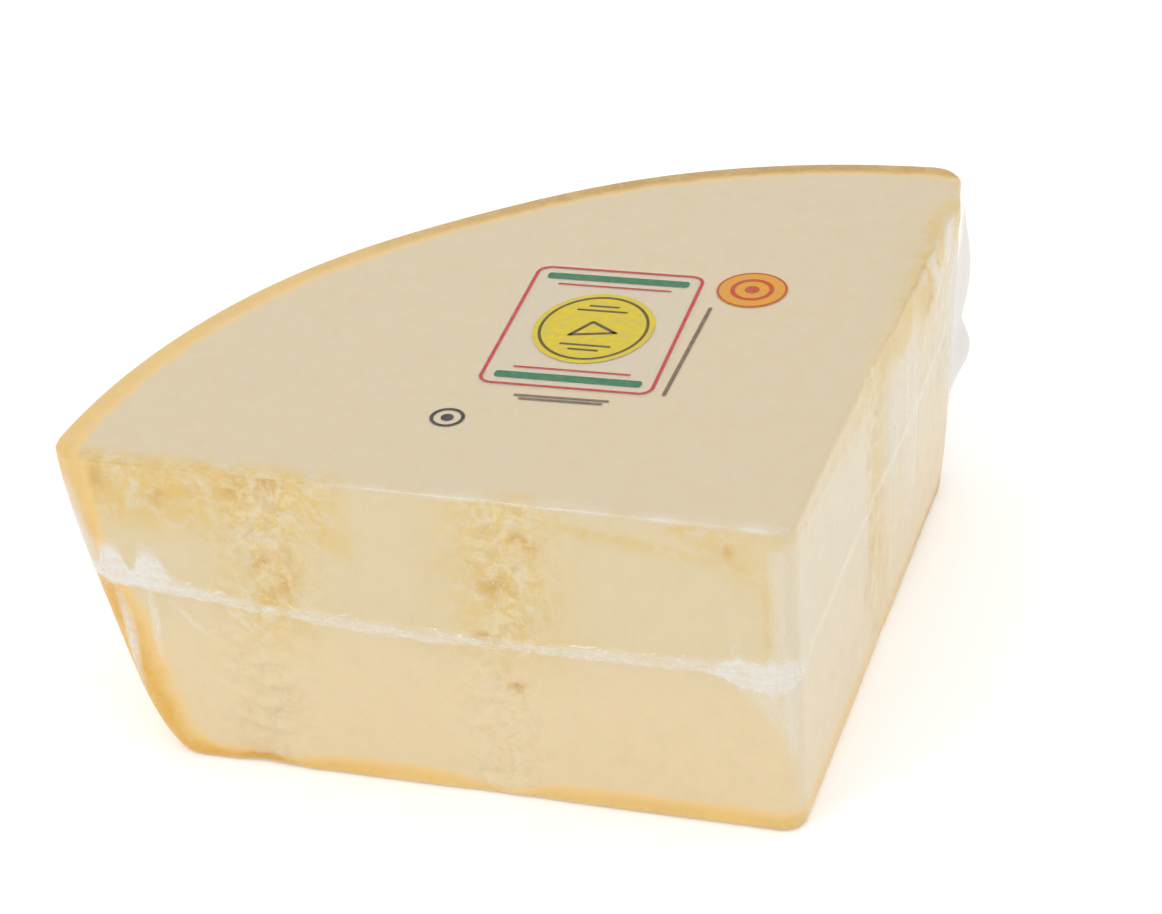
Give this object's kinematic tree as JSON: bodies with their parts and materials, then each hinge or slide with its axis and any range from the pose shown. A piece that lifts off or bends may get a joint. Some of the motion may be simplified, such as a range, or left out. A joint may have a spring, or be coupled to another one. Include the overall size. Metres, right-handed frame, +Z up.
{
  "type": "hard cheese wedge in clear film",
  "caption": "Quarter of the lower half of a large hard-cheese wheel, vacuum sealed in clear film with a crumpled seam round its sides and print on top.",
  "frame": {"origin": "centre of the bounding box, on the base", "axes": "+Z up; -Y out of the front cut face; +X out of the right cut face. The wheel's own axis is the upright edge between the two cuts, at about x 0.103, y -0.105"},
  "size_m": [0.2184, 0.2172, 0.096],
  "materials": {
    "sealed_cheese": "clear glossy film drawn tight over pale straw-coloured cheese paste and a thin golden rind"
  },
  "bodies": {
    "root": {"sealed_cheese_wedge": "sealed_cheese"}
  },
  "joints": []
}
